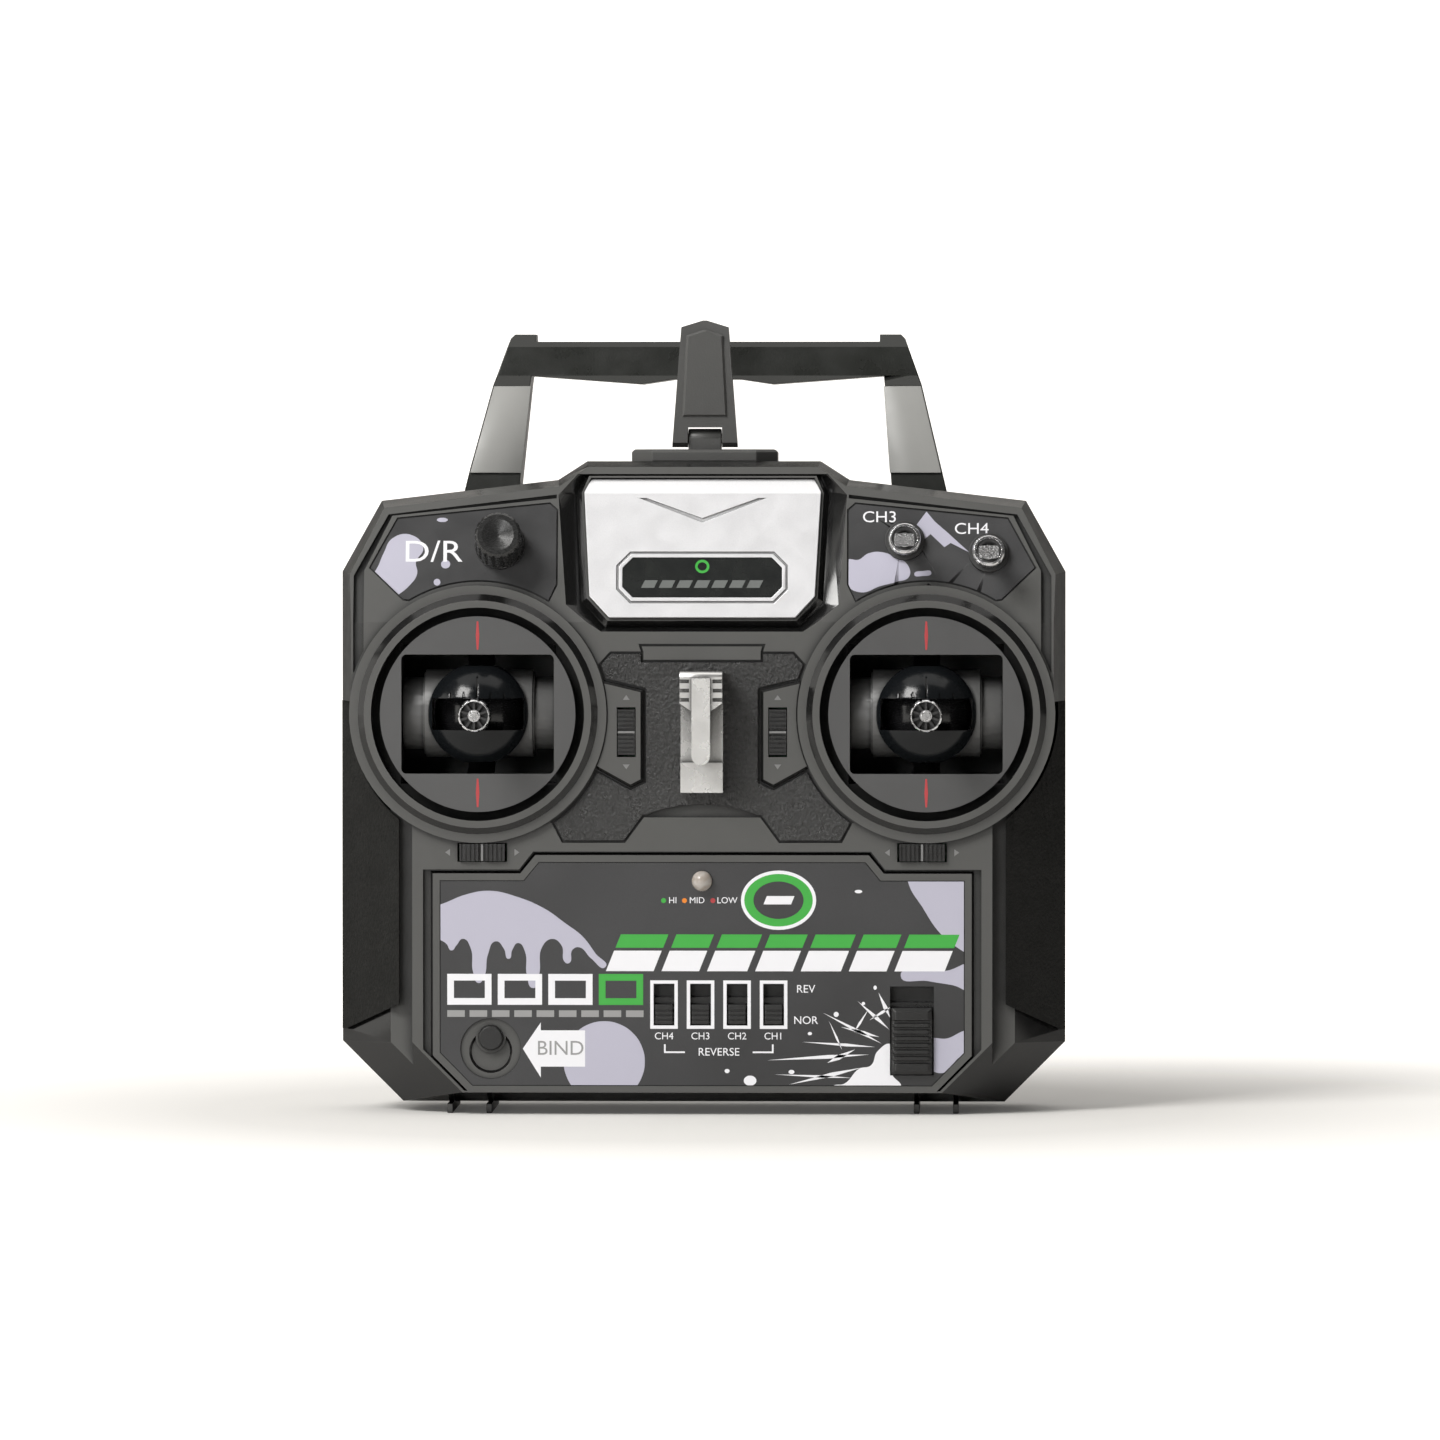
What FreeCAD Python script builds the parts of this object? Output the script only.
"""A hand-held two-stick radio transmitter, standing on its feet.

Millimetres. +Z is up, the front with the sticks faces -Y, and +X is right when seen from the front.
The origin is at the bottom, midway between the two sides and between stick tips and handle.
"""

import FreeCAD, Part
import math
import os

V = FreeCAD.Vector
X_AXIS = V(1, 0, 0)
Y_AXIS = V(0, 1, 0)
SIDES = {"left": -1, "right": 1}
FAR = 200.0

# ---- driving dimensions -------------------------------------------------------------------------
WIDTH = 174.0
HEIGHT = 190.5
DEPTH = 89.0
Y_TIP = -DEPTH / 2
Y_HANDLE = DEPTH / 2
HALF = WIDTH / 2

# The case
CASE_BOTTOM = 2.4
CASE_TOP = 156.5
Y_FRONT = -24.0
Y_REAR = 25.0
Y_SIDE_FRONT = -8.0
Y_SIDE_REAR = 14.0
WALL = 2.2
EDGE_BEVEL = 3.0
REAR_BEVEL = 7.0
CORNER_DROP = 17.0
OUTLINE_HALF = [(72.4, CASE_BOTTOM), (HALF, CORNER_DROP), (HALF, 130.0), (77.5, 147.0), (35.0, 152.0),
                (28.0, CASE_TOP)]
DECK_HALF = 69.4
CHANNEL_Y = -19.0
GRIP_BEVEL_X = 72.6
GRIP_BEVEL_Y = -21.0
GRIP_TOP = 99.0

# The upper face leans back above this height
LEAN = math.radians(13.0)
Z_LEAN = 118.0

# Gimbals
GIMBAL_X = 53.6
GIMBAL_Z = 96.0
PIVOT_Y = -13.0
SHOULDER_R = 30.8
RING_R = 28.7
RING_TOP_R = 27.2
RING_HOLE_R = 25.5
SHOULDER_Y = -25.4
RING_Y = -27.0
FACE_R = 23.4
FACE_Y = -26.0
WINDOW_X = 18.25
WINDOW_Z = 14.25
BARREL_R = 10.5
DOME_R = 12.0
DOME_CURVE = 14.0
DOME_Y = -3.3
HOLLOW_R = 11.0
DOME_HALF_HIGH = 11.5
STICK_SLOT = (11.0, 3.8)
YOKE_R = (14.8, 16.2)
YOKE_SLOT = 2.1
TAIL = 15.9
SHAFT_R = 3.0
STICK_R = 2.0
FIT = 0.05
PRESS = 0.02

# Trims
TRIM_UP_X = 18.1
TRIM_UP_Z = 91.7
TRIM_SIDE_X = 52.6
TRIM_SIDE_Z = 62.9
TRIM_LONG = 11.9
TRIM_WIDE = 4.5
TRIM_PIVOT_Y = -20.5

# Lower deck controls
OVERLAY = 0.5
OVERLAY_GAP = 0.4
REVERSER_X = [-9.1, -0.36, 8.38, 17.12]
REVERSER_Z = 26.5
REVERSER_SLOT = (4.9, 9.9)
POWER_X = 50.2
POWER_SLOT_Z = (9.6, 30.9)
POWER_HALF = 5.25
BIND_X = -50.6
BIND_Z = 18.5
BIND_R = 2.9
LED_Z = 56.1
LED_R = 2.45
BOARD_Y = -12.0
BOARD_THICK = 1.6

# Upper face controls
KNOB_X = -48.5
KNOB_Z = 136.3
TOGGLES = {"inner": (48.4, 137.3), "outer": (68.5, 134.4)}
TOGGLE_REST_DEG = -12.0
TOGGLE_PIVOT_Y = -1.0
TOGGLE_AXLE_R = 0.6
BUSH_R = 3.0

# Neck-strap hook
HOOK_HALF = 5.05
HOOK_Z = (77.3, 106.3)

# Antenna
ANTENNA_Y = 5.0
ANTENNA_PIN_Z = 162.0
ANTENNA_PIN_R = 1.2
KNUCKLE_HALF = 4.0
EYE_R = 2.4

# Battery bay
CELL_R = 7.2
CELL_LENGTH = 50.0
CELL_PITCH = 15.2
CELL_Y = 14.6
CELL_Z = 25.0
BAY_HALF = 31.2
BAY_Z = (20.0, 79.0)
DOOR_HALF = 33.0
DOOR_Z = (18.0, 81.0)
DOOR_THICK = 2.0
DOOR_TRAVEL = 6.0

SCREWS = [(78.0, 27.0), (78.5, 119.0), (30.0, 8.0), (24.0, 147.0)]
TRAINER_X = 0.0
TRAINER_Z = 118.0


# ---- helpers ------------------------------------------------------------------------------------
def mirrored(points):
    """Closes a right-hand half outline with its mirror image."""
    return points + [(-x, z) for x, z in reversed(points)]


def inset(points, distance):
    """Moves every edge of an anticlockwise outline inwards by a distance."""
    moved = []
    count = len(points)
    for i in range(count):
        before, here, after = points[i - 1], points[i], points[(i + 1) % count]
        lines = []
        for start, end in ((before, here), (here, after)):
            dx, dz = end[0] - start[0], end[1] - start[1]
            length = math.hypot(dx, dz)
            nx, nz = -dz / length, dx / length
            lines.append((nx, nz, nx * start[0] + nz * start[1] + distance))
        (a, b, c), (d, e, f) = lines
        det = a * e - b * d
        moved.append(((c * e - b * f) / det, (a * f - c * d) / det))
    return moved


def wire_at(points, y):
    corners = [V(x, y, z) for x, z in points]
    return Part.makePolygon(corners + corners[:1])


def plate(points, y0, y1):
    """Extrudes a front-view outline from y0 to y1."""
    return Part.Face(wire_at(points, y0)).extrude(V(0, y1 - y0, 0))


def side_bar(points, x0, x1):
    """Extrudes a side-view outline of (y, z) points from x0 to x1."""
    corners = [V(x0, y, z) for y, z in points]
    return Part.Face(Part.makePolygon(corners + corners[:1])).extrude(V(x1 - x0, 0, 0))


def plan_bar(points, z0, z1):
    """Extrudes a plan outline of (x, y) points from z0 to z1."""
    corners = [V(x, y, z0) for x, y in points]
    return Part.Face(Part.makePolygon(corners + corners[:1])).extrude(V(0, 0, z1 - z0))


def frustum(points_a, y_a, points_b, y_b):
    return Part.makeLoft([wire_at(points_a, y_a), wire_at(points_b, y_b)], True, True)


def box(x0, x1, y0, y1, z0, z1):
    return Part.makeBox(x1 - x0, y1 - y0, z1 - z0, V(x0, y0, z0))


def rod(radius, start, end):
    """A cylinder from one point to another."""
    a, b = V(*start), V(*end)
    return Part.makeCylinder(radius, (b - a).Length, a, b - a)


def tube(outer, inner, start, end):
    return rod(outer, start, end).cut(rod(inner, start, end))


def cone(r0, r1, start, end):
    a, b = V(*start), V(*end)
    return Part.makeCone(r0, r1, (b - a).Length, a, b - a)


def ball(radius, centre):
    return Part.makeSphere(radius, V(*centre))


def joined(shapes):
    first = shapes[0]
    return first.fuse(shapes[1:]).removeSplitter() if len(shapes) > 1 else first


def flipped(shape):
    """The same shape on the other side of the middle plane."""
    return shape.mirror(V(0, 0, 0), X_AXIS)


def on_side(shape, side):
    return shape if side > 0 else flipped(shape)


def rounded(shape, radius, axis):
    """Rounds every straight edge that runs along an axis."""
    chosen = []
    for edge in shape.Edges:
        if isinstance(edge.Curve, Part.Line) and abs(abs(edge.Curve.Direction.dot(axis)) - 1) < 1e-6:
            chosen.append(edge)
    return shape.makeFillet(radius, chosen)


def moved(shape, x=0.0, y=0.0, z=0.0):
    copy = shape.copy()
    copy.translate(V(x, y, z))
    return copy


def turned(shape, centre, axis, degrees):
    copy = shape.copy()
    copy.rotate(V(*centre), axis, degrees)
    return copy


def leaned(shape):
    """Takes a shape drawn on an upright face at y = 0 to the upper face, which leans back."""
    return moved(turned(shape, (0, 0, Z_LEAN), X_AXIS, -math.degrees(LEAN)), y=Y_FRONT)


def up(z):
    """Height along the leaning face of a point that is seen at height z from the front."""
    return Z_LEAN + (z - Z_LEAN) / math.cos(LEAN)


def raised(points):
    return [(x, up(z)) for x, z in points]


def save(name, shape):
    solids = shape.Solids
    assert solids, name + " holds no solid"
    for solid in solids:
        assert solid.isValid(), name + " holds a broken solid"
    whole = solids[0] if len(solids) == 1 else Part.makeCompound(solids)
    whole.exportStep("parts/" + name + ".step")
    print(name, len(solids), round(sum(s.Volume for s in solids)))


# ---- case ---------------------------------------------------------------------------------------
OUTLINE = mirrored(OUTLINE_HALF)


def lean_cut(depth):
    """All space in front of the leaning upper face, moved back into the case by a depth."""
    py = Y_FRONT + depth * math.cos(LEAN)
    pz = Z_LEAN - depth * math.sin(LEAN)
    low = (py - 10 * math.sin(LEAN), pz - 10 * math.cos(LEAN))
    high = (py + 60 * math.sin(LEAN), pz + 60 * math.cos(LEAN))
    return side_bar([low, high, (-FAR, high[1]), (-FAR, low[1])], -FAR, FAR)


def side_bevel(depth):
    """The sloping recess beside the lower deck that the grip lies in."""
    run_x = HALF - GRIP_BEVEL_X
    run_y = Y_SIDE_FRONT - GRIP_BEVEL_Y
    length = math.hypot(run_x, run_y)
    x0 = HALF - depth * run_y / length
    y0 = Y_SIDE_FRONT + depth * run_x / length
    slope = run_x / run_y
    floor = CHANNEL_Y + depth
    outer = (x0 + slope * 20, y0 + 20)
    foot = (x0 + slope * (floor - y0), floor)
    wall = DECK_HALF - depth
    return plan_bar([outer, foot, (wall, floor), (wall, -FAR), (outer[0], -FAR)], -FAR, GRIP_TOP + depth)


def corner_facet(depth):
    """The flat facet that cuts the lower front corner at 45 degrees."""
    front = (DECK_HALF - CORNER_DROP - 0.4) / math.sqrt(2)
    back = (HALF - CORNER_DROP) / math.sqrt(2)
    run = V(back - front, Y_SIDE_FRONT - Y_FRONT, 0)
    run.normalize()
    inward = V(-run.y, run.x, 0) * depth
    a = V(front, Y_FRONT, 0) + inward - run * 20
    b = V(back, Y_SIDE_FRONT, 0) + inward + run * 12
    s = math.sqrt(0.5)
    corners = [V(u * s, y, -u * s) for u, y in ((a.x, a.y), (b.x, b.y), (FAR, b.y), (FAR, a.y))]
    face = Part.Face(Part.makePolygon(corners + corners[:1]))
    face.translate(V(-FAR * s, 0, -FAR * s))
    return face.extrude(V(2 * FAR * s, 0, 2 * FAR * s))


def front_block(depth):
    """The front half as a full solid, with every outer face moved inwards by a depth."""
    outline = inset(OUTLINE, depth)
    face = inset(OUTLINE, depth + EDGE_BEVEL)
    skirt = plate(outline, Y_SIDE_FRONT, 0)
    nose = frustum(outline, Y_SIDE_FRONT, face, Y_FRONT + depth)
    block = skirt.fuse(nose).removeSplitter()
    block = block.cut(lean_cut(depth))
    for side in SIDES.values():
        block = block.cut(on_side(side_bevel(depth), side))
        block = block.cut(on_side(corner_facet(depth), side))
    return block


def rear_block(depth):
    outline = inset(OUTLINE, depth)
    face = inset(OUTLINE, depth + REAR_BEVEL)
    return plate(outline, 0, Y_SIDE_REAR).fuse(
        frustum(outline, Y_SIDE_REAR, face, Y_REAR - depth)).removeSplitter()


PANEL_HALF = [(13.9, 71.3), (18.4, 65.2), (33.5, 65.2), (36.0, 70.0), (42.0, 72.0), (42.0, 108.0),
              (24.7, 108.0), (22.0, 111.0), (14.0, 111.0), (14.0, 109.0)]
PANEL_GAP = 0.6
SURROUND = [(27.0, 104.9), (14.0, 101.8), (14.0, 80.0), (17.1, 78.4), (28.0, 84.4)]
SURROUND_RISE = 0.9
SHELF_R = 36.5
SHELF_TOP = 74.4
FASCIA_BACK = 1.5
FASCIA_HALF = [(22.3, 118.9), (27.0, 124.0), (28.4, 148.9), (26.8, 152.5)]
CHANNEL_HALF = [(24.5, 115.4), (32.6, 122.2), (34.6, 148.4), (30.0, 153.4)]
CHANNEL_BED_HALF = [(23.1, 117.1), (28.9, 123.3), (30.3, 148.9), (28.2, 153.2)]
CHANNEL_DEPTH = 2.0
LIP_HALF = [(22.5, 118.5), (27.4, 123.8), (28.8, 148.9), (27.1, 152.9)]
BADGE_HALF = [(16.6, 123.8), (19.0, 126.2), (19.0, 130.7), (16.6, 133.1)]
UPPER_OVERLAY = [(38.4, 120.0), (71.5, 123.5), (79.4, 131.0), (73.0, 142.6), (36.7, 146.2), (35.0, 144.7),
                 (35.0, 127.0)]
LOWER_HALF = [(54.9, 7.2), (62.6, 15.0), (62.6, 56.0), (42.6, 56.0), (39.0, 60.4)]
LOWER_RIM = 1.5
LOWER_GROOVE_HALF = [(56.9, 5.8), (66.8, 15.7), (66.8, 58.8), (43.8, 58.8), (40.4, 63.1)]
UPPER_FACE_HALF = [(81.0, 90.0), (81.0, 130.2), (74.4, 143.4), (35.0, 147.6)]
GROOVE_DEPTH = 1.5


def gimbal_disc(radius, y0, y1, side):
    return rod(radius, (side * GIMBAL_X, y0, GIMBAL_Z), (side * GIMBAL_X, y1, GIMBAL_Z))


def surround(side):
    """The raised island with sloping edges that an upright trim sits in."""
    top = frustum(SURROUND, Y_FRONT - 0.1, inset(SURROUND, 0.7), Y_FRONT - SURROUND_RISE)
    island = plate(SURROUND, Y_FRONT - 0.1, Y_FRONT + 1.4).fuse(top).removeSplitter()
    return on_side(island.cut(gimbal_disc(SHOULDER_R + 0.3, -FAR, FAR, 1)), side)


def brow_groove():
    """The narrow groove over the centre panel, which leaves a low bar between the two."""
    line = [(14.6, 110.9), (15.2, 112.8), (-15.2, 112.8), (-14.6, 110.9), (-14.0, 110.9), (-14.4, 112.2),
            (14.4, 112.2), (14.0, 110.9)]
    return plate(line, Y_FRONT - 1, Y_FRONT + 1.1)


def panel(y0, y1, gap):
    """The pocket of the textured centre panel, or with a gap all round the panel that lies in it."""
    shape = plate(inset(mirrored(PANEL_HALF), gap), y0, y1)
    for side in SIDES.values():
        shape = shape.cut(gimbal_disc(SHOULDER_R + 0.3 + gap, -FAR, FAR, side))
        shape = shape.cut(on_side(plate(inset(SURROUND, -gap), -FAR, FAR), side))
    return shape


def trim_slots():
    slots = []
    for side in SIDES.values():
        slots.append(box(side * TRIM_UP_X - TRIM_WIDE / 2, side * TRIM_UP_X + TRIM_WIDE / 2, -FAR, -18,
                         TRIM_UP_Z - TRIM_LONG / 2, TRIM_UP_Z + TRIM_LONG / 2))
        slots.append(box(side * TRIM_SIDE_X - TRIM_LONG / 2, side * TRIM_SIDE_X + TRIM_LONG / 2, -FAR, -18,
                         TRIM_SIDE_Z - TRIM_WIDE / 2, TRIM_SIDE_Z + TRIM_WIDE / 2))
    return slots


def deck_holes():
    holes = []
    for x in REVERSER_X:
        holes.append(box(x - REVERSER_SLOT[0] / 2, x + REVERSER_SLOT[0] / 2, -FAR, -18,
                         REVERSER_Z - REVERSER_SLOT[1] / 2, REVERSER_Z + REVERSER_SLOT[1] / 2))
    holes.append(box(POWER_X - POWER_HALF, POWER_X + POWER_HALF, -FAR, -18, *POWER_SLOT_Z))
    holes.append(rod(BIND_R + 2 * FIT, (BIND_X, -FAR, BIND_Z), (BIND_X, -18, BIND_Z)))
    holes.append(rod(LED_R + FIT, (0, -FAR, LED_Z), (0, -18, LED_Z)))
    return holes


def bind_scoop():
    """The crescent under the bind button that the fingertip rests in."""
    scoop = cone(6.0, 4.6, (BIND_X, Y_FRONT - 0.5, 15.2), (BIND_X, Y_FRONT + 1.2, 15.2))
    return scoop.cut(rod(3.6, (BIND_X, -FAR, BIND_Z), (BIND_X, 0, BIND_Z)))


def ring_between(outer, inner, y0, y1):
    return plate(outer, y0, y1).cut(plate(inner, y0, y1))


def gimbal_ring(side):
    """The low shoulder round a gimbal and the ring on it, whose outer side slopes."""
    x = side * GIMBAL_X
    slope = cone(RING_R, RING_TOP_R, (x, SHOULDER_Y, GIMBAL_Z), (x, RING_Y, GIMBAL_Z))
    shoulder = gimbal_disc(SHOULDER_R, SHOULDER_Y, -17.5, side)
    ring = gimbal_disc(RING_TOP_R, RING_Y, -20, side)
    return joined([shoulder, ring, slope])


def upper_groove():
    """The groove along the edge of the case over the gimbals, narrow on top and wide at the sides."""
    edge = inset(OUTLINE, EDGE_BEVEL + 0.5)
    groove = ring_between(edge, mirrored(UPPER_FACE_HALF), -FAR, 0)
    groove = groove.common(box(-HALF, HALF, -FAR, 0, 106, 149)).cut(box(-35, 35, -FAR, 0, 100, CASE_TOP))
    for side in SIDES.values():
        groove = groove.cut(gimbal_disc(SHOULDER_R + 0.5, -FAR, 5, side))
    upright = groove.common(box(-HALF, HALF, -FAR, Y_FRONT + GROOVE_DEPTH, 100, CASE_TOP))
    return upright.fuse(groove.common(lean_cut(GROOVE_DEPTH)))


def lower_groove():
    """The groove round the rim of the lower film, with an upright outer wall and a sloping inner one."""
    rim = inset(mirrored(LOWER_HALF), -LOWER_RIM)
    island = frustum(rim, Y_FRONT - 1, inset(rim, -0.9), Y_FRONT + GROOVE_DEPTH)
    return plate(mirrored(LOWER_GROOVE_HALF), Y_FRONT - 1, Y_FRONT + GROOVE_DEPTH).cut(island)


def fascia_backing():
    """A thicker stretch of wall behind the fascia's channel."""
    return leaned(plate(raised(inset(mirrored(CHANNEL_HALF), 0.6)), 1.0, CHANNEL_DEPTH + WALL))


def fascia_channel():
    """The sloping channel round the fascia, with the lip that frames it left standing."""
    mouth = raised(mirrored(CHANNEL_HALF))
    bed = raised(mirrored(CHANNEL_BED_HALF))
    deep = leaned(frustum(mouth, 0, bed, CHANNEL_DEPTH))
    over = leaned(plate(raised(mirrored(CHANNEL_HALF)), -2.0, 0))
    lip = leaned(frustum(bed, CHANNEL_DEPTH, raised(mirrored(LIP_HALF)), -0.3))
    seat = leaned(plate(raised(mirrored(FASCIA_HALF)), -2.0, FASCIA_BACK))
    return [joined([deep, over]).cut(lip), seat]


def screw_places():
    return [(side * x, z) for x, z in SCREWS for side in SIDES.values()]


def upper_hole(radius, x, z):
    return leaned(rod(radius, (x, -6, up(z)), (x, 8, up(z))))


def front_shell():
    solid = front_block(0)
    bosses = []
    for side in SIDES.values():
        bosses += [gimbal_ring(side), surround(side)]
    solid = joined([solid] + bosses)
    solid = solid.cut(front_block(WALL))
    solid = joined([solid, fascia_backing()])
    posts = []
    for x, z in screw_places():
        posts.append(rod(3.2, (x, -16.0, z), (x, 0, z)))
    solid = joined([solid, joined(posts).common(front_block(0.5))])
    cuts = [rod(1.5, (x, -13.0, z), (x, 1, z)) for x, z in screw_places()]
    for side in SIDES.values():
        cuts.append(gimbal_disc(RING_HOLE_R, -FAR, -15, side))
        cuts.append(gimbal_disc(SHOULDER_R - 1.6, -21.8, -1, side))
        cuts.append(on_side(grip_shape(0.05), side))
    cuts += [panel(Y_FRONT - 1, Y_FRONT + 1.3, 0), brow_groove()]
    cuts += fascia_channel()
    for side in SIDES.values():
        cuts.append(on_side(upper_overlay(-2, OVERLAY, OVERLAY_GAP), side))
    cuts.append(plate(inset(mirrored(LOWER_HALF), -OVERLAY_GAP / 2), -FAR, Y_FRONT + OVERLAY))
    cuts += [lower_groove(), upper_groove()]
    cuts += trim_slots() + deck_holes()
    cuts.append(bind_scoop())
    cuts.append(upper_hole(3.7, KNOB_X, KNOB_Z))
    for x, z in TOGGLES.values():
        cuts.append(upper_hole(3.1, x, z))
    solid = solid.cut(cuts)
    return max(solid.Solids, key=lambda s: s.Volume)


def grip_shape(gap):
    """The rubber grip, which wraps from the sloping recess round to the side."""
    lip = 1.6
    run_x = HALF - GRIP_BEVEL_X
    run_y = Y_SIDE_FRONT - GRIP_BEVEL_Y
    slope = run_y / run_x
    x_in = GRIP_BEVEL_X - gap

    def bevel_y(x):
        return Y_SIDE_FRONT - slope * (HALF - x)

    back = -1.6 + gap
    inner_x = HALF - 0.9
    plan = [(x_in, bevel_y(x_in) + 0.6), (inner_x, bevel_y(inner_x) + 0.6),
            (inner_x, back), (HALF + gap, back),
            (HALF + gap, bevel_y(HALF) - lip), (x_in, bevel_y(x_in) - lip)]
    pad = plan_bar(plan, 20.0 - gap, GRIP_TOP + gap)
    view = [(GRIP_BEVEL_X - 1, 27.0 - gap), (HALF + 1, 19.0 - gap), (HALF + 1, GRIP_TOP + gap),
            (GRIP_BEVEL_X - 1, GRIP_TOP + gap)]
    pad = pad.common(plate(view, -FAR, 0))
    return pad.cut(gimbal_disc(SHOULDER_R + 0.8 - gap, -FAR, 5, 1))


def upper_overlay(y0, y1, gap):
    shape = leaned(plate(inset(raised(UPPER_OVERLAY), -gap), y0, y1))
    return shape.cut(gimbal_disc(SHOULDER_R + 1.2 - gap, -FAR, 5, 1))


def rear_shell():
    solid = rear_block(0).cut(rear_block(WALL))
    bay = box(-BAY_HALF - 1.6, BAY_HALF + 1.6, 5.2, Y_REAR - 0.5, BAY_Z[0] - 1.6, BAY_Z[1] + 1.6)
    posts = [rod(3.6, (x, 0.3, z), (x, Y_REAR - 0.5, z)) for x, z in screw_places()]
    solid = joined([solid, bay, joined(posts).common(rear_block(0.6))])
    cuts = [box(-BAY_HALF, BAY_HALF, 6.8, FAR, *BAY_Z)]
    cuts.append(box(-DOOR_HALF - 0.2, DOOR_HALF + 0.2, Y_REAR - DOOR_THICK - 0.2, FAR,
                    DOOR_Z[0] - DOOR_TRAVEL - 0.6, DOOR_Z[1] + 0.2))
    for x, z in screw_places():
        cuts.append(rod(1.7, (x, -1, z), (x, Y_REAR + 1, z)))
        cuts.append(rod(3.0, (x, 14.0, z), (x, Y_REAR + 1, z)))
    cuts.append(rod(6.6, (TRAINER_X, 10, TRAINER_Z), (TRAINER_X, FAR, TRAINER_Z)))
    for i in range(6):
        z = 96.0 + 2.6 * i
        for side in SIDES.values():
            cuts.append(box(side * 50 - 9, side * 50 + 9, Y_REAR - 0.8, FAR, z, z + 1.2))
    solid = solid.cut(cuts)
    return max(solid.Solids, key=lambda s: s.Volume)


# ---- fixed trim on the case ---------------------------------------------------------------------
def centre_panel():
    shelf = rod(SHELF_R, (0, -FAR, SHELF_TOP - SHELF_R), (0, 0, SHELF_TOP - SHELF_R))
    shelf = shelf.common(box(-14.5, 14.5, -FAR, 0, 70, 76))
    return panel(Y_FRONT - 0.2, Y_FRONT + 1.3, PANEL_GAP).cut([box(-4, 4, -FAR, 0, 82, 101), shelf])


def fascia_panel():
    shape = leaned(plate(raised(inset(mirrored(FASCIA_HALF), 0.05)), -1.0, FASCIA_BACK))
    bend = leaned(turned(box(-40, 40, -12, 0, 0, 12), (0, 0, 0), X_AXIS, -22).translated(
        V(0, -1.0, up(148.5))))
    shape = shape.cut(bend)
    badge = leaned(plate(raised(inset(mirrored(BADGE_HALF), -0.1)), -3, -0.3))
    frame = raised(inset(mirrored(BADGE_HALF), -1.0))
    line = leaned(ring_between(inset(frame, -0.5), frame, -3, -0.6))
    chevron = [(-15.0, 147.4), (0.0, 141.6), (15.0, 147.4), (13.4, 147.4), (0.0, 142.6), (-13.4, 147.4)]
    mark = leaned(plate(raised(chevron), -3, -0.6))
    return shape.cut([badge, line, mark])


def badge_window():
    return leaned(plate(raised(mirrored(BADGE_HALF)), -0.9, -0.3))


def overlay_lower():
    shape = plate(mirrored(LOWER_HALF), Y_FRONT, Y_FRONT + OVERLAY)
    boss = rod(7.3, (BIND_X, Y_FRONT - 1, 15.9), (BIND_X, Y_FRONT + 2, 15.9))
    return shape.cut(deck_holes() + [boss])


def upper_overlays(side):
    shape = on_side(upper_overlay(0, OVERLAY, 0), side)
    holes = [upper_hole(5.3, KNOB_X, KNOB_Z)]
    if side > 0:
        holes = [upper_hole(4.0, x, z) for x, z in TOGGLES.values()]
    return shape.cut(holes)


def strap_hook():
    z0, z1 = HOOK_Z
    floor = Y_FRONT - 2.4
    front = Y_FRONT - 12.0
    base = box(-HOOK_HALF, HOOK_HALF, floor, Y_FRONT - 0.2, z0, z1)
    shoulders = mirrored([(2.3, 96.9), (HOOK_HALF, 98.8), (HOOK_HALF, z1)])
    top = plate(shoulders, front + 0.8, Y_FRONT - 0.2)
    brow = [e for e in top.Edges if e.BoundBox.YMax < front + 0.9 and e.BoundBox.ZMin > z1 - 0.1]
    top = top.makeFillet(1.2, brow)
    foot = box(-HOOK_HALF, HOOK_HALF, floor - 1.4, Y_FRONT - 0.2, z0, 84.5)
    arm = box(-2.2, 2.2, front, front + 3.6, 86.2, z1 - 1.5)
    arm_end = rod(2.2, (0, front, 86.3), (0, front + 3.6, 86.3))
    shape = joined([base, top, foot, arm, arm_end])
    grooves = []
    for z in (99.2, 101.4, 103.6):
        for side in SIDES.values():
            grooves.append(box(side * 4.2 - 1.4, side * 4.2 + 1.4, front - 1, front + 1.7, z, z + 0.9))
    return shape.cut(grooves)


def led_lens():
    body = rod(LED_R, (0, Y_FRONT - 0.8, LED_Z), (0, -14.5, LED_Z))
    tip = ball(LED_R, (0, Y_FRONT - 0.8, LED_Z))
    legs = [rod(0.3, (x, -15, LED_Z), (x, BOARD_Y, LED_Z)) for x in (-1.2, 1.2)]
    return joined([body, tip] + legs)


def feet():
    ribs = []
    for side in SIDES.values():
        for offset in (-4.7, 4.7):
            x = side * 56.0 + offset
            ribs.append(box(x - 0.7, x + 0.7, -17.0, 19.0, 0, CASE_BOTTOM))
    return Part.makeCompound(ribs)


def handle():
    outer = [(59.2, 146.0), (52.2, 175.4), (48.2, 186.6), (47.2, 187.6)]
    front_view = plate(mirrored(outer), -FAR, FAR)
    gap = [(45.8, 140.0), (43.2, 175.6), (43.0, 177.4), (16.0, 175.4), (8.0, 176.6)]
    front_view = front_view.cut(plate(mirrored(gap), -FAR, FAR))
    side_view = [(7.5, 146.0), (24.5, 146.0), (27.0, 152.0), (Y_HANDLE, 176.5), (Y_HANDLE, 184.0),
                 (42.0, 187.6), (32.5, 187.6), (29.5, 184.5), (28.0, 177.5), (9.5, 155.0)]
    shape = front_view.common(side_bar(side_view, -FAR, FAR))
    shape = shape.cut([front_block(0), rear_block(0)])
    bar_top = box(-42.0, 42.0, 0, FAR, 185.8, FAR)
    shape = shape.cut([bar_top] + [on_side(pad_space(), side) for side in SIDES.values()])
    return max(shape.Solids, key=lambda s: s.Volume)


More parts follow.
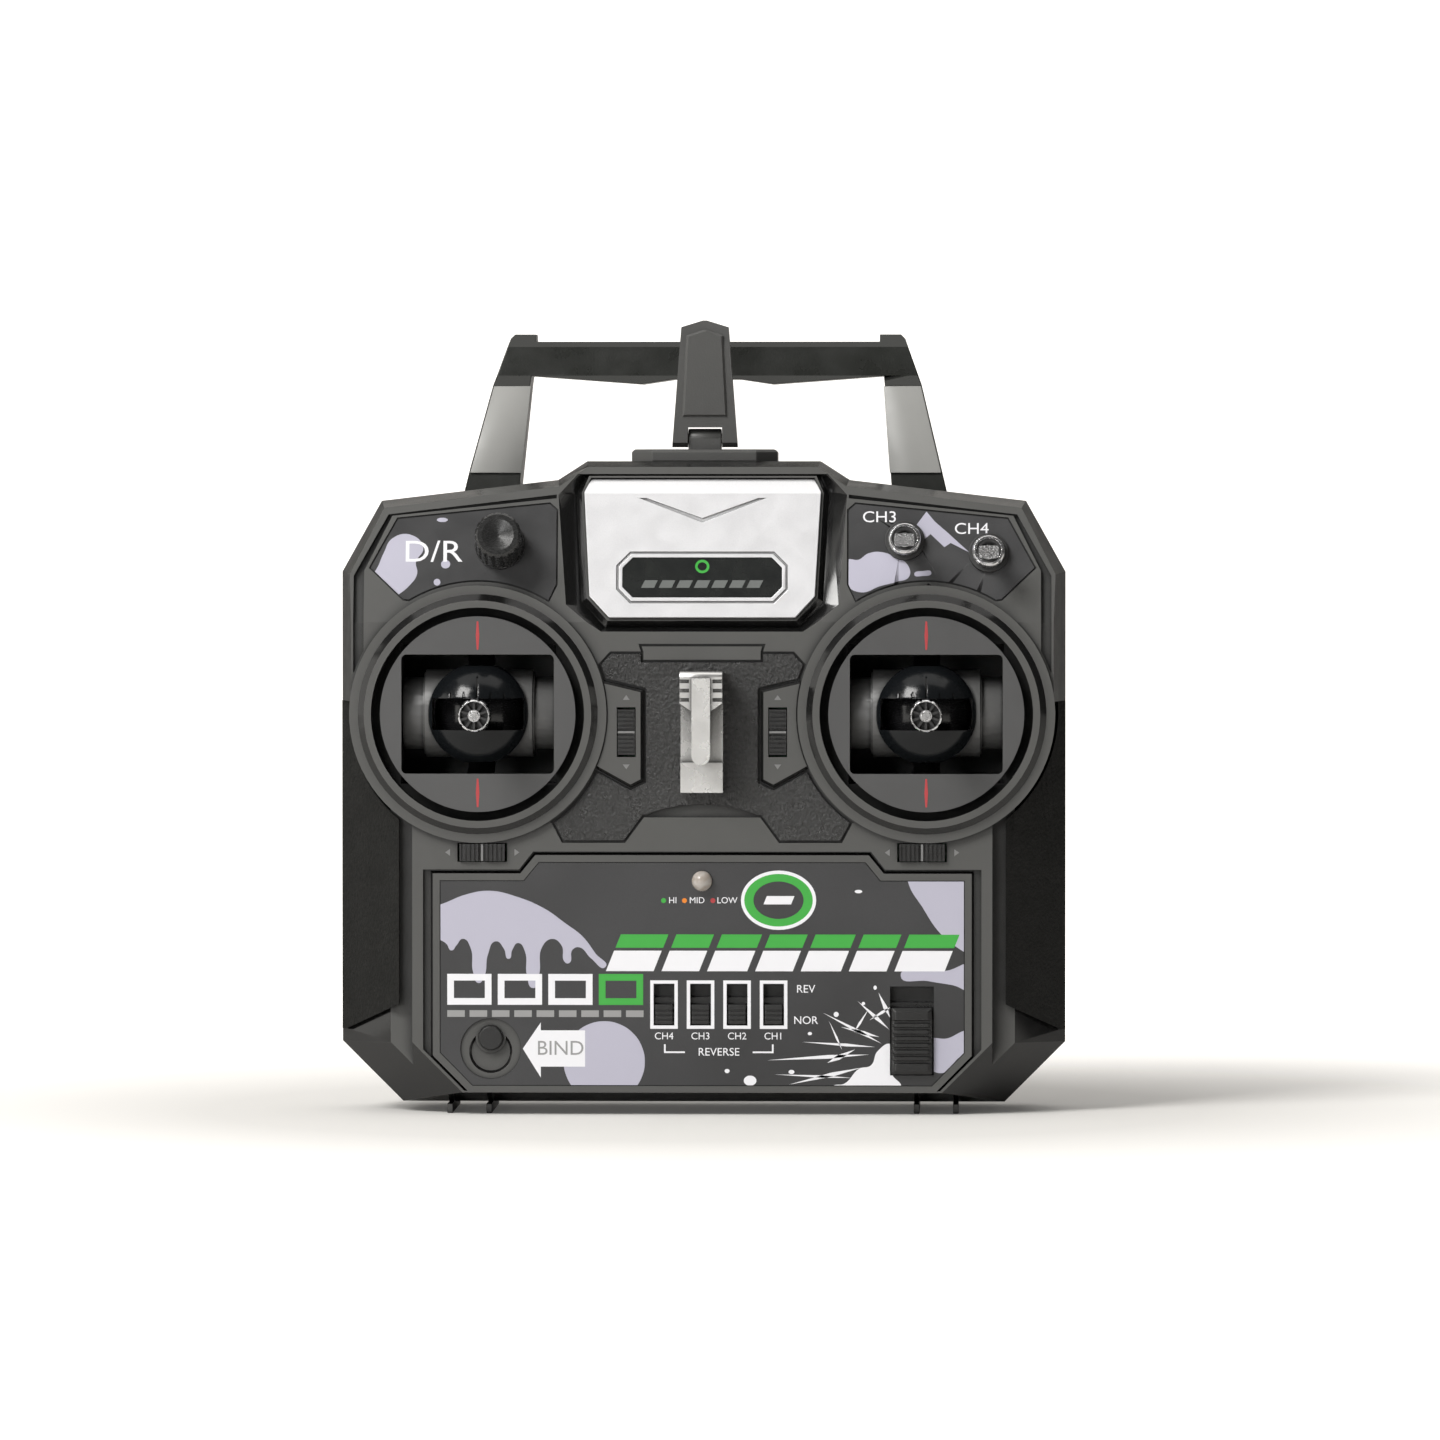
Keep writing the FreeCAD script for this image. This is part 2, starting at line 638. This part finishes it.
def pad_space():
    """Where the satin pad lies on the front of a handle leg."""
    view = [(43.0, 174.9), (52.1, 174.9), (57.1, 153.7), (44.6, 153.7)]
    y0, z0, y1, z1 = 9.5, 155.0, 28.0, 177.5
    length = math.hypot(y1 - y0, z1 - z0)
    ny, nz = -(z1 - z0) / length, (y1 - y0) / length
    dy, dz = (y1 - y0) / length, (z1 - z0) / length
    face = [(y0 - 12 * dy, z0 - 12 * dz), (y1 + 12 * dy, z1 + 12 * dz)]
    thick = 0.9
    band = [face[0], face[1], (face[1][0] - ny * thick, face[1][1] - nz * thick),
            (face[0][0] - ny * thick, face[0][1] - nz * thick)]
    return plate(view, -FAR, FAR).common(side_bar(band, 0, FAR)).cut(side_bar(
        [(-FAR, 100), (7.5, 100), (7.5, FAR), (-FAR, FAR)], -FAR, FAR))


def handle_pads():
    pads = [on_side(pad_space(), side) for side in SIDES.values()]
    return Part.makeCompound([p for pad in pads for p in pad.Solids])


# ---- antenna ------------------------------------------------------------------------------------
def antenna_base():
    y0, y1 = ANTENNA_Y - 9.0, ANTENNA_Y + 9.0
    plan = [(-12.6, y0), (12.6, y0), (17.6, y0 + 5.0), (17.6, y1), (-17.6, y1), (-17.6, y0 + 5.0)]
    base = plan_bar(plan, CASE_TOP, CASE_TOP + 2.9)
    base = base.makeChamfer(0.7, [e for e in base.Edges if e.BoundBox.ZMin > CASE_TOP + 2])
    trough = box(-8.6, 8.6, ANTENNA_Y - 5.0, ANTENNA_Y + 4.0, CASE_TOP + 1.7, FAR)
    base = base.cut(trough)
    knuckle = box(-KNUCKLE_HALF, KNUCKLE_HALF, ANTENNA_Y - EYE_R, ANTENNA_Y + EYE_R,
                  CASE_TOP + 1, ANTENNA_PIN_Z)
    eye = rod(EYE_R, (-KNUCKLE_HALF, ANTENNA_Y, ANTENNA_PIN_Z), (KNUCKLE_HALF, ANTENNA_Y, ANTENNA_PIN_Z))
    pin = rod(ANTENNA_PIN_R, (-9, ANTENNA_Y, ANTENNA_PIN_Z), (9, ANTENNA_Y, ANTENNA_PIN_Z))
    return joined([base, knuckle, eye]).cut(pin)


def antenna_pin():
    return rod(ANTENNA_PIN_R, (-7.4, ANTENNA_Y, ANTENNA_PIN_Z), (7.4, ANTENNA_Y, ANTENNA_PIN_Z))


def antenna_blade():
    view = mirrored([(7.9, 159.9), (5.7, 188.9), (0.5, HEIGHT)])
    side_view = [(ANTENNA_Y - 3.4, 161.0), (ANTENNA_Y - 3.4, 184.0), (ANTENNA_Y - 2.4, HEIGHT),
                 (ANTENNA_Y + 2.4, HEIGHT), (ANTENNA_Y + 3.4, 184.0), (ANTENNA_Y + 3.4, 161.0),
                 (ANTENNA_Y + 2.0, 159.9), (ANTENNA_Y - 2.0, 159.9)]
    body = plate(view, -FAR, FAR).common(side_bar(side_view, -FAR, FAR))
    gap = box(-KNUCKLE_HALF - 0.15, KNUCKLE_HALF + 0.15, -FAR, FAR, 150, ANTENNA_PIN_Z + EYE_R + 0.3)
    eye = rod(ANTENNA_PIN_R + FIT, (-9, ANTENNA_Y, ANTENNA_PIN_Z), (9, ANTENNA_Y, ANTENNA_PIN_Z))
    panel_view = mirrored([(5.4, 167.3), (4.4, 186.9), (0.4, 188.2)])
    front = plate(panel_view, ANTENNA_Y - 4.1, ANTENNA_Y - 3.0)
    front = front.makeChamfer(0.45, [e for e in front.Edges if e.BoundBox.YMax < ANTENNA_Y - 4.0])
    core = rod(1.4, (0, ANTENNA_Y, 166.5), (0, ANTENNA_Y, 187.0))
    return joined([body.cut([gap, eye]), front]).cut(core)


def antenna_element():
    return rod(1.3, (0, ANTENNA_Y, 167.0), (0, ANTENNA_Y, 186.5))


# ---- gimbals, drawn on the right-hand side ------------------------------------------------------
def at_gimbal(shape, side):
    """Moves a shape drawn about the pivot at the origin to its gimbal."""
    return on_side(moved(shape, GIMBAL_X, PIVOT_Y, GIMBAL_Z), side)


WALL_X = 18.6
WALL_Z = 16.8
WALL_OUT = 2.4
FRAME_BACK = 5.5
POT_LENGTH = 7.0
DOME_MARKS = [(0.0, 9.0), (-3.2, 5.2), (3.2, 5.2), (-6.4, 5.2), (6.4, 5.2)]


def gimbal_frame():
    face = FACE_Y - PIVOT_Y
    seat = -21.7 - PIVOT_Y
    disc = rod(FACE_R, (0, face, 0), (0, seat, 0))
    flange = rod(28.0, (0, seat, 0), (0, seat + 2.0, 0))
    shell = box(-WALL_X - WALL_OUT, WALL_X + WALL_OUT, seat + 1, FRAME_BACK, -WALL_Z - WALL_OUT,
                WALL_Z + WALL_OUT)
    shape = joined([disc, flange, shell])
    window = box(-WINDOW_X, WINDOW_X, -FAR, FAR, -WINDOW_Z, WINDOW_Z)
    window = rounded(window, 1.2, Y_AXIS)
    inside = box(-WALL_X, WALL_X, face + 1.6, FAR, -WALL_Z, WALL_Z)
    shape = shape.cut([window, inside])
    shape = shape.cut(rod(SHAFT_R + FIT, (-FAR, 0, 0), (FAR, 0, 0)))
    return shape.cut(rod(1.5 + FIT, (0, 0, -FAR), (0, 0, FAR)))


def pot(shaft_r):
    """A small potentiometer body standing along +Z, with the hole for the shaft that turns it."""
    body = rod(5.4, (0, 0, 0), (0, 0, POT_LENGTH))
    tab = box(-4, 4, 0, 8.0, 1.5, 2.5)
    return joined([body, tab]).cut(rod(shaft_r + FIT, (0, 0, -1), (0, 0, POT_LENGTH - 1)))


def gimbal_pots():
    lift = turned(pot(SHAFT_R), (0, 0, 0), Y_AXIS, -90)
    lift = moved(lift, x=-WALL_X - WALL_OUT)
    swing = turned(moved(pot(1.5), z=WALL_Z + WALL_OUT), (0, 0, 0), Y_AXIS, 180)
    pots = [at_gimbal(p, side) for side in SIDES.values() for p in (lift, swing)]
    return Part.makeCompound([s for p in pots for s in p.Solids])


def drum():
    """The barrel that tips with the stick, and the domed cup on its front with the slot for the stick."""
    barrel = rod(BARREL_R, (-13.3, 0, 0), (13.3, 0, 0))
    neck = rod(8.6, (-18.2, 0, 0), (18.2, 0, 0))
    centre = (0, DOME_Y, 0)
    cup = rod(DOME_R, (0, 2.0, 0), (0, -20, 0)).common(ball(DOME_CURVE, centre))
    cup = cup.common(box(-FAR, FAR, -FAR, FAR, -DOME_HALF_HIGH, DOME_HALF_HIGH))
    shaft = rod(SHAFT_R, (-WALL_X - 5, 0, 0), (WALL_X + WALL_OUT - 0.4, 0, 0))
    shape = joined([barrel, neck, cup, shaft])
    inside = rod(DOME_R - 1.2, (0, 0, 0), (0, -20, 0)).common(ball(DOME_CURVE - 1.2, centre))
    slot = box(-STICK_SLOT[0], STICK_SLOT[0], -FAR, -1.0, -STICK_SLOT[1], STICK_SLOT[1])
    rear = box(-11.6, 11.6, 2.0, FAR, -FAR, FAR)
    pin = rod(1.5 + FIT, (0, 0, -FAR), (0, 0, FAR))
    marks = [box(x - 0.2, x + 0.2, -FAR, 0, STICK_SLOT[1] - 1, top) for x, top in DOME_MARKS]
    marks = joined(marks).cut(ball(DOME_CURVE - 0.3, centre))
    grooves = []
    for x in (-13.3, 13.3):
        grooves.append(tube(BARREL_R + 1, BARREL_R - 0.7, (x - 0.45, 0, 0), (x + 0.45, 0, 0)))
    return shape.cut([ball(HOLLOW_R, (0, 0, 0)), inside, slot, rear, pin, marks] + grooves)


def stick():
    hub = rod(4.6, (0, 0, -7.6), (0, 0, 7.6))
    pins = rod(1.5, (0, 0, 0.1 - DOME_HALF_HIGH), (0, 0, DOME_HALF_HIGH - 0.1))
    band = ball(HOLLOW_R - 0.25, (0, 0, 0)).cut(ball(HOLLOW_R - 1.4, (0, 0, 0)))
    band = band.common(box(-FAR, FAR, -FAR, -1.0, -5.0, 5.0))
    rod_out = rod(STICK_R, (0, 0, 0), (0, -24.4, 0))
    pommel = cone(3.4, 2.6, (0, -8.5, 0), (0, -14.0, 0))
    tail = rod(1.2, (0, 0, 0), (0, TAIL, 0))
    return joined([hub, pins, band, rod_out, pommel, tail])


TIP_R = 4.0
TIP_TEETH = 10
TIP_POCKET = (1.45, 3.35, 2.4)


def stick_tip():
    """The turned tip: a crown of thin teeth between deep pockets, round a polished nose."""
    length = Y_TIP - PIVOT_Y
    grip = rod(3.3, (0, -23.0, 0), (0, length + 1.0, 0))
    crown = cone(TIP_R, TIP_R - 0.2, (0, length + 4.6, 0), (0, length + 0.5, 0))
    rim = cone(TIP_R - 0.2, TIP_R - 0.45, (0, length + 0.5, 0), (0, length + 0.15, 0))
    collar = rod(TIP_R, (0, length + 4.6, 0), (0, length + 5.6, 0))
    inner, outer, deep = TIP_POCKET
    pocket = tube(outer, inner, (0, length - 0.5, 0), (0, length + deep, 0))
    dish = tube(outer, inner, (0, length - 0.5, 0), (0, length + 0.55, 0))
    for i in range(TIP_TEETH):
        tooth = box(-0.28, 0.28, length - 1, length + 3, 0, TIP_R)
        pocket = pocket.cut(turned(tooth, (0, 0, 0), Y_AXIS, i * 360 / TIP_TEETH))
    notches = []
    for i in range(TIP_TEETH):
        notch = box(-0.3, 0.3, length - 1, length + 6, TIP_R - 0.4, TIP_R + 2)
        notches.append(turned(notch, (0, 0, 0), Y_AXIS, (i + 0.5) * 360 / TIP_TEETH))
    rings = [tube(5, 3.0, (0, y, 0), (0, y - 0.5, 0)) for y in (-24.6, -25.6)]
    bore = rod(STICK_R + PRESS, (0, 0, 0), (0, -24.4, 0))
    shape = joined([grip, crown, rim, collar]).cut([bore, pocket, dish] + notches + rings)
    nose = cone(inner, 1.0, (0, length + 0.6, 0), (0, length, 0))
    return joined([shape, nose])


def yoke():
    """The slotted arch behind the drum, which the stick's tail swings."""
    arch = tube(YOKE_R[1], YOKE_R[0], (-3.2, 0, 0), (3.2, 0, 0))
    arch = arch.cut(box(-FAR, FAR, -FAR, -2.2, -FAR, FAR))
    slot = box(-YOKE_SLOT, YOKE_SLOT, 0, FAR, -10.5, 10.5)
    pivots = []
    for end in (-1, 1):
        reach = WALL_Z + WALL_OUT + (4.0 if end < 0 else -0.4)
        pivots.append(rod(1.5, (0, 0, end * (YOKE_R[0] + 0.4)), (0, 0, end * reach)))
    return joined([arch.cut(slot)] + pivots)


# ---- trims --------------------------------------------------------------------------------------
def rocker():
    """A trim rocker lying along Z about its pivot at the origin, with its face towards -Y."""
    half = TRIM_LONG / 2 - 0.55
    wide = TRIM_WIDE / 2 - 0.2
    face = Y_FRONT - TRIM_PIVOT_Y
    body = box(-wide, wide, face - 1.1, 1.2, -half, half)
    axle = rod(0.9, (-wide - 1.0, 0, 0), (wide + 1.0, 0, 0))
    cuts = [box(-FAR, FAR, -FAR, face + 0.2, -0.9, 0.9)]
    for i in range(4):
        for end in (-1, 1):
            z = end * (1.6 + i * 1.05)
            cuts.append(box(-FAR, FAR, -FAR, face - 0.5, z - 0.25, z + 0.25))
    return joined([body.cut(cuts), axle])


def trim_switch():
    board = box(-5.0, 5.0, 6.0, 7.2, -7.0, 7.0)
    keys = [box(-2.2, 2.2, 3.0, 6.0, z - 2.0, z + 2.0) for z in (-4.2, 4.2)]
    ears = []
    for side in SIDES.values():
        ear = box(side * 3.7 - 0.6, side * 3.7 + 0.6, -1.2, 6.0, -1.6, 1.6)
        ears.append(ear.cut(rod(0.9 + FIT, (-FAR, 0, 0), (FAR, 0, 0))))
    return joined([board] + keys + ears)


def at_trims(shape):
    """A shape drawn for an upright trim, placed at all four: name to shape."""
    lying = turned(shape, (0, 0, 0), Y_AXIS, 90)
    places = {}
    for word, side in SIDES.items():
        places[word + "_up"] = moved(shape, side * TRIM_UP_X, TRIM_PIVOT_Y, TRIM_UP_Z)
        places[word + "_side"] = moved(lying, side * TRIM_SIDE_X, TRIM_PIVOT_Y, TRIM_SIDE_Z)
    return places


# ---- deck controls ------------------------------------------------------------------------------
def reverser(x):
    low = REVERSER_Z - REVERSER_SLOT[1] / 2 + 0.3
    knob = box(x - 2.15, x + 2.15, -24.3, -21.4, low, low + 4.7)
    flange = box(x - 3.1, x + 3.1, -21.5, -20.6, low - 1.8, low + 6.4)
    grooves = [box(x - 3, x + 3, -25, -23.8, low + 0.8 + 1.1 * i, low + 1.3 + 1.1 * i) for i in range(3)]
    return joined([knob.cut(grooves), flange])


def reverser_block():
    bodies = []
    for x in REVERSER_X:
        bodies.append(box(x - 3.9, x + 3.9, -20.3, BOARD_Y, REVERSER_Z - 7.5, REVERSER_Z + 7.5))
    return Part.makeCompound(bodies)


def power_slider():
    z0 = POWER_SLOT_Z[0] + 0.3
    knob = box(POWER_X - 4.85, POWER_X + 4.85, -26.2, -21.4, z0, z0 + 15.9)
    knob = knob.makeChamfer(0.9, [e for e in knob.Edges if e.BoundBox.YMax < -26.1])
    flange = box(POWER_X - 6.3, POWER_X + 6.3, -21.5, -20.6, z0 - 1.2, z0 + 17.2)
    ribs = []
    for i in range(7):
        z = z0 + 2.6 + i * 1.6
        ribs.append(box(POWER_X - FAR, POWER_X + FAR, -FAR, -25.5, z, z + 0.8))
    return joined([knob.cut(ribs), flange])


def power_switch():
    return box(POWER_X - 6.5, POWER_X + 6.5, -20.3, BOARD_Y, POWER_SLOT_Z[0] - 0.6, POWER_SLOT_Z[1] + 1.2)


def bind_button():
    cap = rod(BIND_R, (BIND_X, -24.9, BIND_Z), (BIND_X, -20.6, BIND_Z))
    cap = cap.makeChamfer(0.3, [e for e in cap.Edges if e.BoundBox.YMax < -24.8])
    collar = rod(BIND_R + 1.0, (BIND_X, -20.9, BIND_Z), (BIND_X, -19.9, BIND_Z))
    return joined([cap, collar])


def bind_switch():
    body = box(BIND_X - 3, BIND_X + 3, -18.0, BOARD_Y, BIND_Z - 3, BIND_Z + 3)
    plunger = rod(1.5, (BIND_X, -19.0, BIND_Z), (BIND_X, -17.9, BIND_Z))
    return joined([body, plunger])


# ---- upper face controls ------------------------------------------------------------------------
def dr_knob():
    z = up(KNOB_Z)
    body = cone(5.9, 5.55, (KNOB_X, -0.7, z), (KNOB_X, -11.2, z))
    skirt = rod(6.0, (KNOB_X, -0.7, z), (KNOB_X, -1.7, z))
    top = cone(5.55, 4.9, (KNOB_X, -11.2, z), (KNOB_X, -11.9, z))
    shape = joined([body, skirt, top])
    cuts = [rod(4.6, (KNOB_X, 0, z), (KNOB_X, -3.4, z)),
            rod(SHAFT_R + PRESS, (KNOB_X, 0, z), (KNOB_X, -9.0, z))]
    dish = cone(4.4, 0.3, (KNOB_X, -12.0, z), (KNOB_X, -11.3, z))
    flutes = []
    for i in range(18):
        flute = rod(0.42, (KNOB_X + 5.95, -1.8, z), (KNOB_X + 5.65, -12.5, z))
        flutes.append(turned(flute, (KNOB_X, 0, z), Y_AXIS, i * 20))
    return leaned(shape.cut(cuts + [dish] + flutes))


def dr_shaft():
    z = up(KNOB_Z)
    return leaned(rod(SHAFT_R, (KNOB_X, -9.0, z), (KNOB_X, 5.0, z)))


def dr_pot():
    z = up(KNOB_Z)
    bush = rod(3.6, (KNOB_X, -2.9, z), (KNOB_X, 2.6, z))
    body = rod(8.0, (KNOB_X, 2.4, z), (KNOB_X, 11.0, z))
    nut = rod(4.4, (KNOB_X, -2.2, z), (KNOB_X, 0.0, z))
    tab = box(KNOB_X - 6, KNOB_X + 6, 8.2, 9.4, z - 11, z)
    bore = rod(SHAFT_R + FIT, (KNOB_X, -4, z), (KNOB_X, 5.2, z))
    return leaned(joined([bush, body, nut, tab]).cut(bore))


def toggle_body(x, z):
    h = up(z)
    body = box(x - 4.0, x + 4.0, 2.4, 12.5, h - 6.2, h + 6.2)
    bush = rod(BUSH_R, (x, -3.0, h), (x, 2.6, h))
    pins = [box(x - 1.0, x + 1.0, 12.5, 16.0, h + dz - 0.4, h + dz + 0.4) for dz in (-4.0, 0.0, 4.0)]
    socket = ball(2.1, (x, TOGGLE_PIVOT_Y, h))
    mouth = cone(2.6, 1.6, (x, -3.2, h), (x, TOGGLE_PIVOT_Y, h))
    throat = cone(1.4, 2.4, (x, TOGGLE_PIVOT_Y, h), (x, 4.0, h))
    axle = rod(TOGGLE_AXLE_R + FIT, (x - 2.6, TOGGLE_PIVOT_Y, h), (x + 2.6, TOGGLE_PIVOT_Y, h))
    return leaned(joined([body, bush] + pins).cut([socket, mouth, throat]).cut(axle))


def toggle_nut(x, z):
    h = up(z)
    return leaned(tube(4.8, BUSH_R + PRESS, (x, -1.2, h), (x, 0.0, h)))


def toggle_collar(x, z):
    """A round dress nut with four notches for its spanner."""
    h = up(z)
    nut = joined([rod(3.9, (x, -2.9, h), (x, -1.2, h)), cone(3.9, 3.5, (x, -2.9, h), (x, -3.4, h))])
    notch = box(x - 0.45, x + 0.45, -4, -2.4, h + 3.4, h + 5)
    notches = [turned(notch, (x, 0, h), Y_AXIS, 45 + 90 * i) for i in range(4)]
    return leaned(nut.cut([rod(BUSH_R + PRESS, (x, -4, h), (x, 0, h))] + notches))


def toggle_lever(x, z):
    h = up(z)
    y = TOGGLE_PIVOT_Y
    pivot = joined([ball(1.9, (x, y, h)), rod(TOGGLE_AXLE_R, (x - 2.5, y, h), (x + 2.5, y, h))])
    stem = cone(1.0, 1.7, (x, y, h), (x, y - 9.5, h))
    paddle = box(x - 2.35, x + 2.35, y - 12.4, y - 8.2, h - 1.5, h + 1.5)
    paddle = rounded(paddle, 0.6, Y_AXIS)
    tail = cone(1.0, 0.8, (x, y, h), (x, y + 3.6, h))
    shape = joined([pivot, stem, paddle, tail])
    return leaned(turned(shape, (x, y, h), X_AXIS, -TOGGLE_REST_DEG))


# ---- inside -------------------------------------------------------------------------------------
def main_board():
    outline = mirrored([(58.0, 8.5), (62.0, 14.0), (62.0, 52.0), (12.0, 52.0), (12.0, 61.0)])
    board = plate(outline, BOARD_Y, BOARD_Y + BOARD_THICK)
    back = BOARD_Y + BOARD_THICK
    chips = [box(-38, -28, back, back + 1.4, 34, 44), box(-6, 6, back, back + 1.6, 20, 32),
             box(24, 31, back, back + 1.2, 38, 43)]
    caps = [rod(3.0, (x, back, 16), (x, back + 7.0, 16)) for x in (38, 46)]
    plugs = [box(x - 6, x + 6, back, back + 6.0, 46, 50.5) for x in (-46, -28, 28, 46)]
    holes = [rod(1.7, (x, -FAR, z), (x, FAR, z)) for x, z in screw_places()]
    posts = [rod(4.2, (x, -FAR, z), (x, 0, z)) for x, z in screw_places()]
    return joined([board] + chips + caps + plugs).cut(holes + posts)


def rf_module():
    board = box(-13, 13, -2.0, -1.0, 126, 150)
    shield = box(-10, 10, -1.0, 2.2, 129, 143)
    socket = rod(1.5, (7, -1.0, 146.5), (7, 1.2, 146.5))
    return joined([board, shield, socket])


def buzzer():
    return tube(6.5, 1.0, (-46, -2.0, 24.0), (-46, 3.0, 24.0))


def battery_cells():
    cells = []
    for i in range(4):
        x = (i - 1.5) * CELL_PITCH
        up_end = i % 2 == 0
        body = rod(CELL_R, (x, CELL_Y, CELL_Z), (x, CELL_Y, CELL_Z + CELL_LENGTH - 1.0))
        nub_z = CELL_Z + CELL_LENGTH - 1.0 if up_end else CELL_Z
        step = 1.0 if up_end else -1.0
        nub = rod(2.7, (x, CELL_Y, nub_z), (x, CELL_Y, nub_z + step))
        cell = joined([body, nub])
        cells.append(cell if up_end else moved(cell, z=1.0))
    return Part.makeCompound(cells)


def battery_contacts():
    pieces = []
    for i in range(4):
        x = (i - 1.5) * CELL_PITCH
        for end in (0, 1):
            wall = BAY_Z[0] if end == 0 else BAY_Z[1]
            sign = 1 if end == 0 else -1
            leaf = box(x - 5, x + 5, CELL_Y - 6, CELL_Y + 6, min(wall, wall + sign * 0.5),
                       max(wall, wall + sign * 0.5))
            spring_end = (i % 2 == 0) == (end == 0)
            reach = CELL_Z - BAY_Z[0] - 0.05 if end == 0 else BAY_Z[1] - CELL_Z - CELL_LENGTH - 0.05
            size = 4.2 if spring_end else 2.4
            coil = cone(size, size * 0.6, (x, CELL_Y, wall + sign * 0.4), (x, CELL_Y, wall + sign * reach))
            pieces.append(joined([leaf, coil]))
    return Part.makeCompound(pieces)


def battery_door():
    z0, z1 = DOOR_Z
    shape = box(-DOOR_HALF, DOOR_HALF, Y_REAR - DOOR_THICK, Y_REAR, z0, z1)
    shape = rounded(shape, 2.0, Y_AXIS)
    arrow = [(-6.0, z1 - 12.0), (6.0, z1 - 12.0), (0.0, z1 - 18.0)]
    cuts = [plate(list(reversed(arrow)), Y_REAR - 0.6, FAR)]
    for i in range(3):
        z = z1 - 5.0 - 1.8 * i
        cuts.append(box(-14, 14, Y_REAR - 0.6, FAR, z, z + 0.9))
    return shape.cut(cuts)


def case_screws():
    screws = []
    for x, z in screw_places():
        shank = rod(1.45, (x, -12.5, z), (x, 14.0, z))
        head = rod(2.8, (x, 14.0, z), (x, 16.2, z))
        slots = [box(x - 1.6, x + 1.6, 15.2, 17, z - 0.3, z + 0.3),
                 box(x - 0.3, x + 0.3, 15.2, 17, z - 1.6, z + 1.6)]
        screws.append(joined([shank, head]).cut(slots))
    return Part.makeCompound(screws)


def trainer_socket():
    start, end = (TRAINER_X, Y_REAR - 9.5, TRAINER_Z), (TRAINER_X, Y_REAR - 0.2, TRAINER_Z)
    bore = rod(4.6, (TRAINER_X, Y_REAR - 8.2, TRAINER_Z), (TRAINER_X, FAR, TRAINER_Z))
    shape = rod(6.5, start, end).cut(bore)
    holes = []
    for i in range(4):
        a = math.radians(45 + 90 * i)
        x, z = TRAINER_X + 2.2 * math.cos(a), TRAINER_Z + 2.2 * math.sin(a)
        holes.append(rod(0.5, (x, Y_REAR - 9.0, z), (x, Y_REAR - 8.0, z)))
    return shape.cut(holes)


# ---- everything ---------------------------------------------------------------------------------
def main():
    os.makedirs("parts", exist_ok=True)
    save("front_shell", front_shell())
    save("rear_shell", rear_shell())
    save("centre_panel", centre_panel())
    save("fascia_panel", fascia_panel())
    save("badge_window", badge_window())
    save("overlay_lower", overlay_lower())
    save("strap_hook", strap_hook())
    save("led_lens", led_lens())
    save("feet", feet())
    save("handle", handle())
    save("handle_pads", handle_pads())
    save("antenna_base", antenna_base())
    save("antenna_pin", antenna_pin())
    save("antenna_blade", antenna_blade())
    save("antenna_element", antenna_element())
    for word, side in SIDES.items():
        save("overlay_" + word, upper_overlays(side))
        save("grip_" + word, on_side(grip_shape(0), side))
        save("gimbal_frame_" + word, at_gimbal(gimbal_frame(), side))
        save("drum_" + word, at_gimbal(drum(), side))
        save("stick_" + word, at_gimbal(stick(), side))
        save("stick_tip_" + word, at_gimbal(stick_tip(), side))
        save("yoke_" + word, at_gimbal(yoke(), side))
    save("gimbal_pots", gimbal_pots())
    for word, shape in at_trims(rocker()).items():
        save("trim_" + word, shape)
    save("trim_switches", Part.makeCompound(list(at_trims(trim_switch()).values())))
    for i, x in enumerate(REVERSER_X):
        save("reverser_" + str(4 - i), reverser(x))
    save("reverser_block", reverser_block())
    save("power_slider", power_slider())
    save("power_switch", power_switch())
    save("bind_button", bind_button())
    save("bind_switch", bind_switch())
    save("dr_knob", dr_knob())
    save("dr_shaft", dr_shaft())
    save("dr_pot", dr_pot())
    save("toggle_bodies", Part.makeCompound([toggle_body(x, z) for x, z in TOGGLES.values()]))
    save("toggle_nuts", Part.makeCompound([toggle_nut(x, z) for x, z in TOGGLES.values()]))
    save("toggle_collars", Part.makeCompound([toggle_collar(x, z) for x, z in TOGGLES.values()]))
    for word, (x, z) in TOGGLES.items():
        save("toggle_lever_" + word, toggle_lever(x, z))
    save("main_board", main_board())
    save("rf_module", rf_module())
    save("buzzer", buzzer())
    save("battery_cells", battery_cells())
    save("battery_contacts", battery_contacts())
    save("battery_door", battery_door())
    save("case_screws", case_screws())
    save("trainer_socket", trainer_socket())


main()
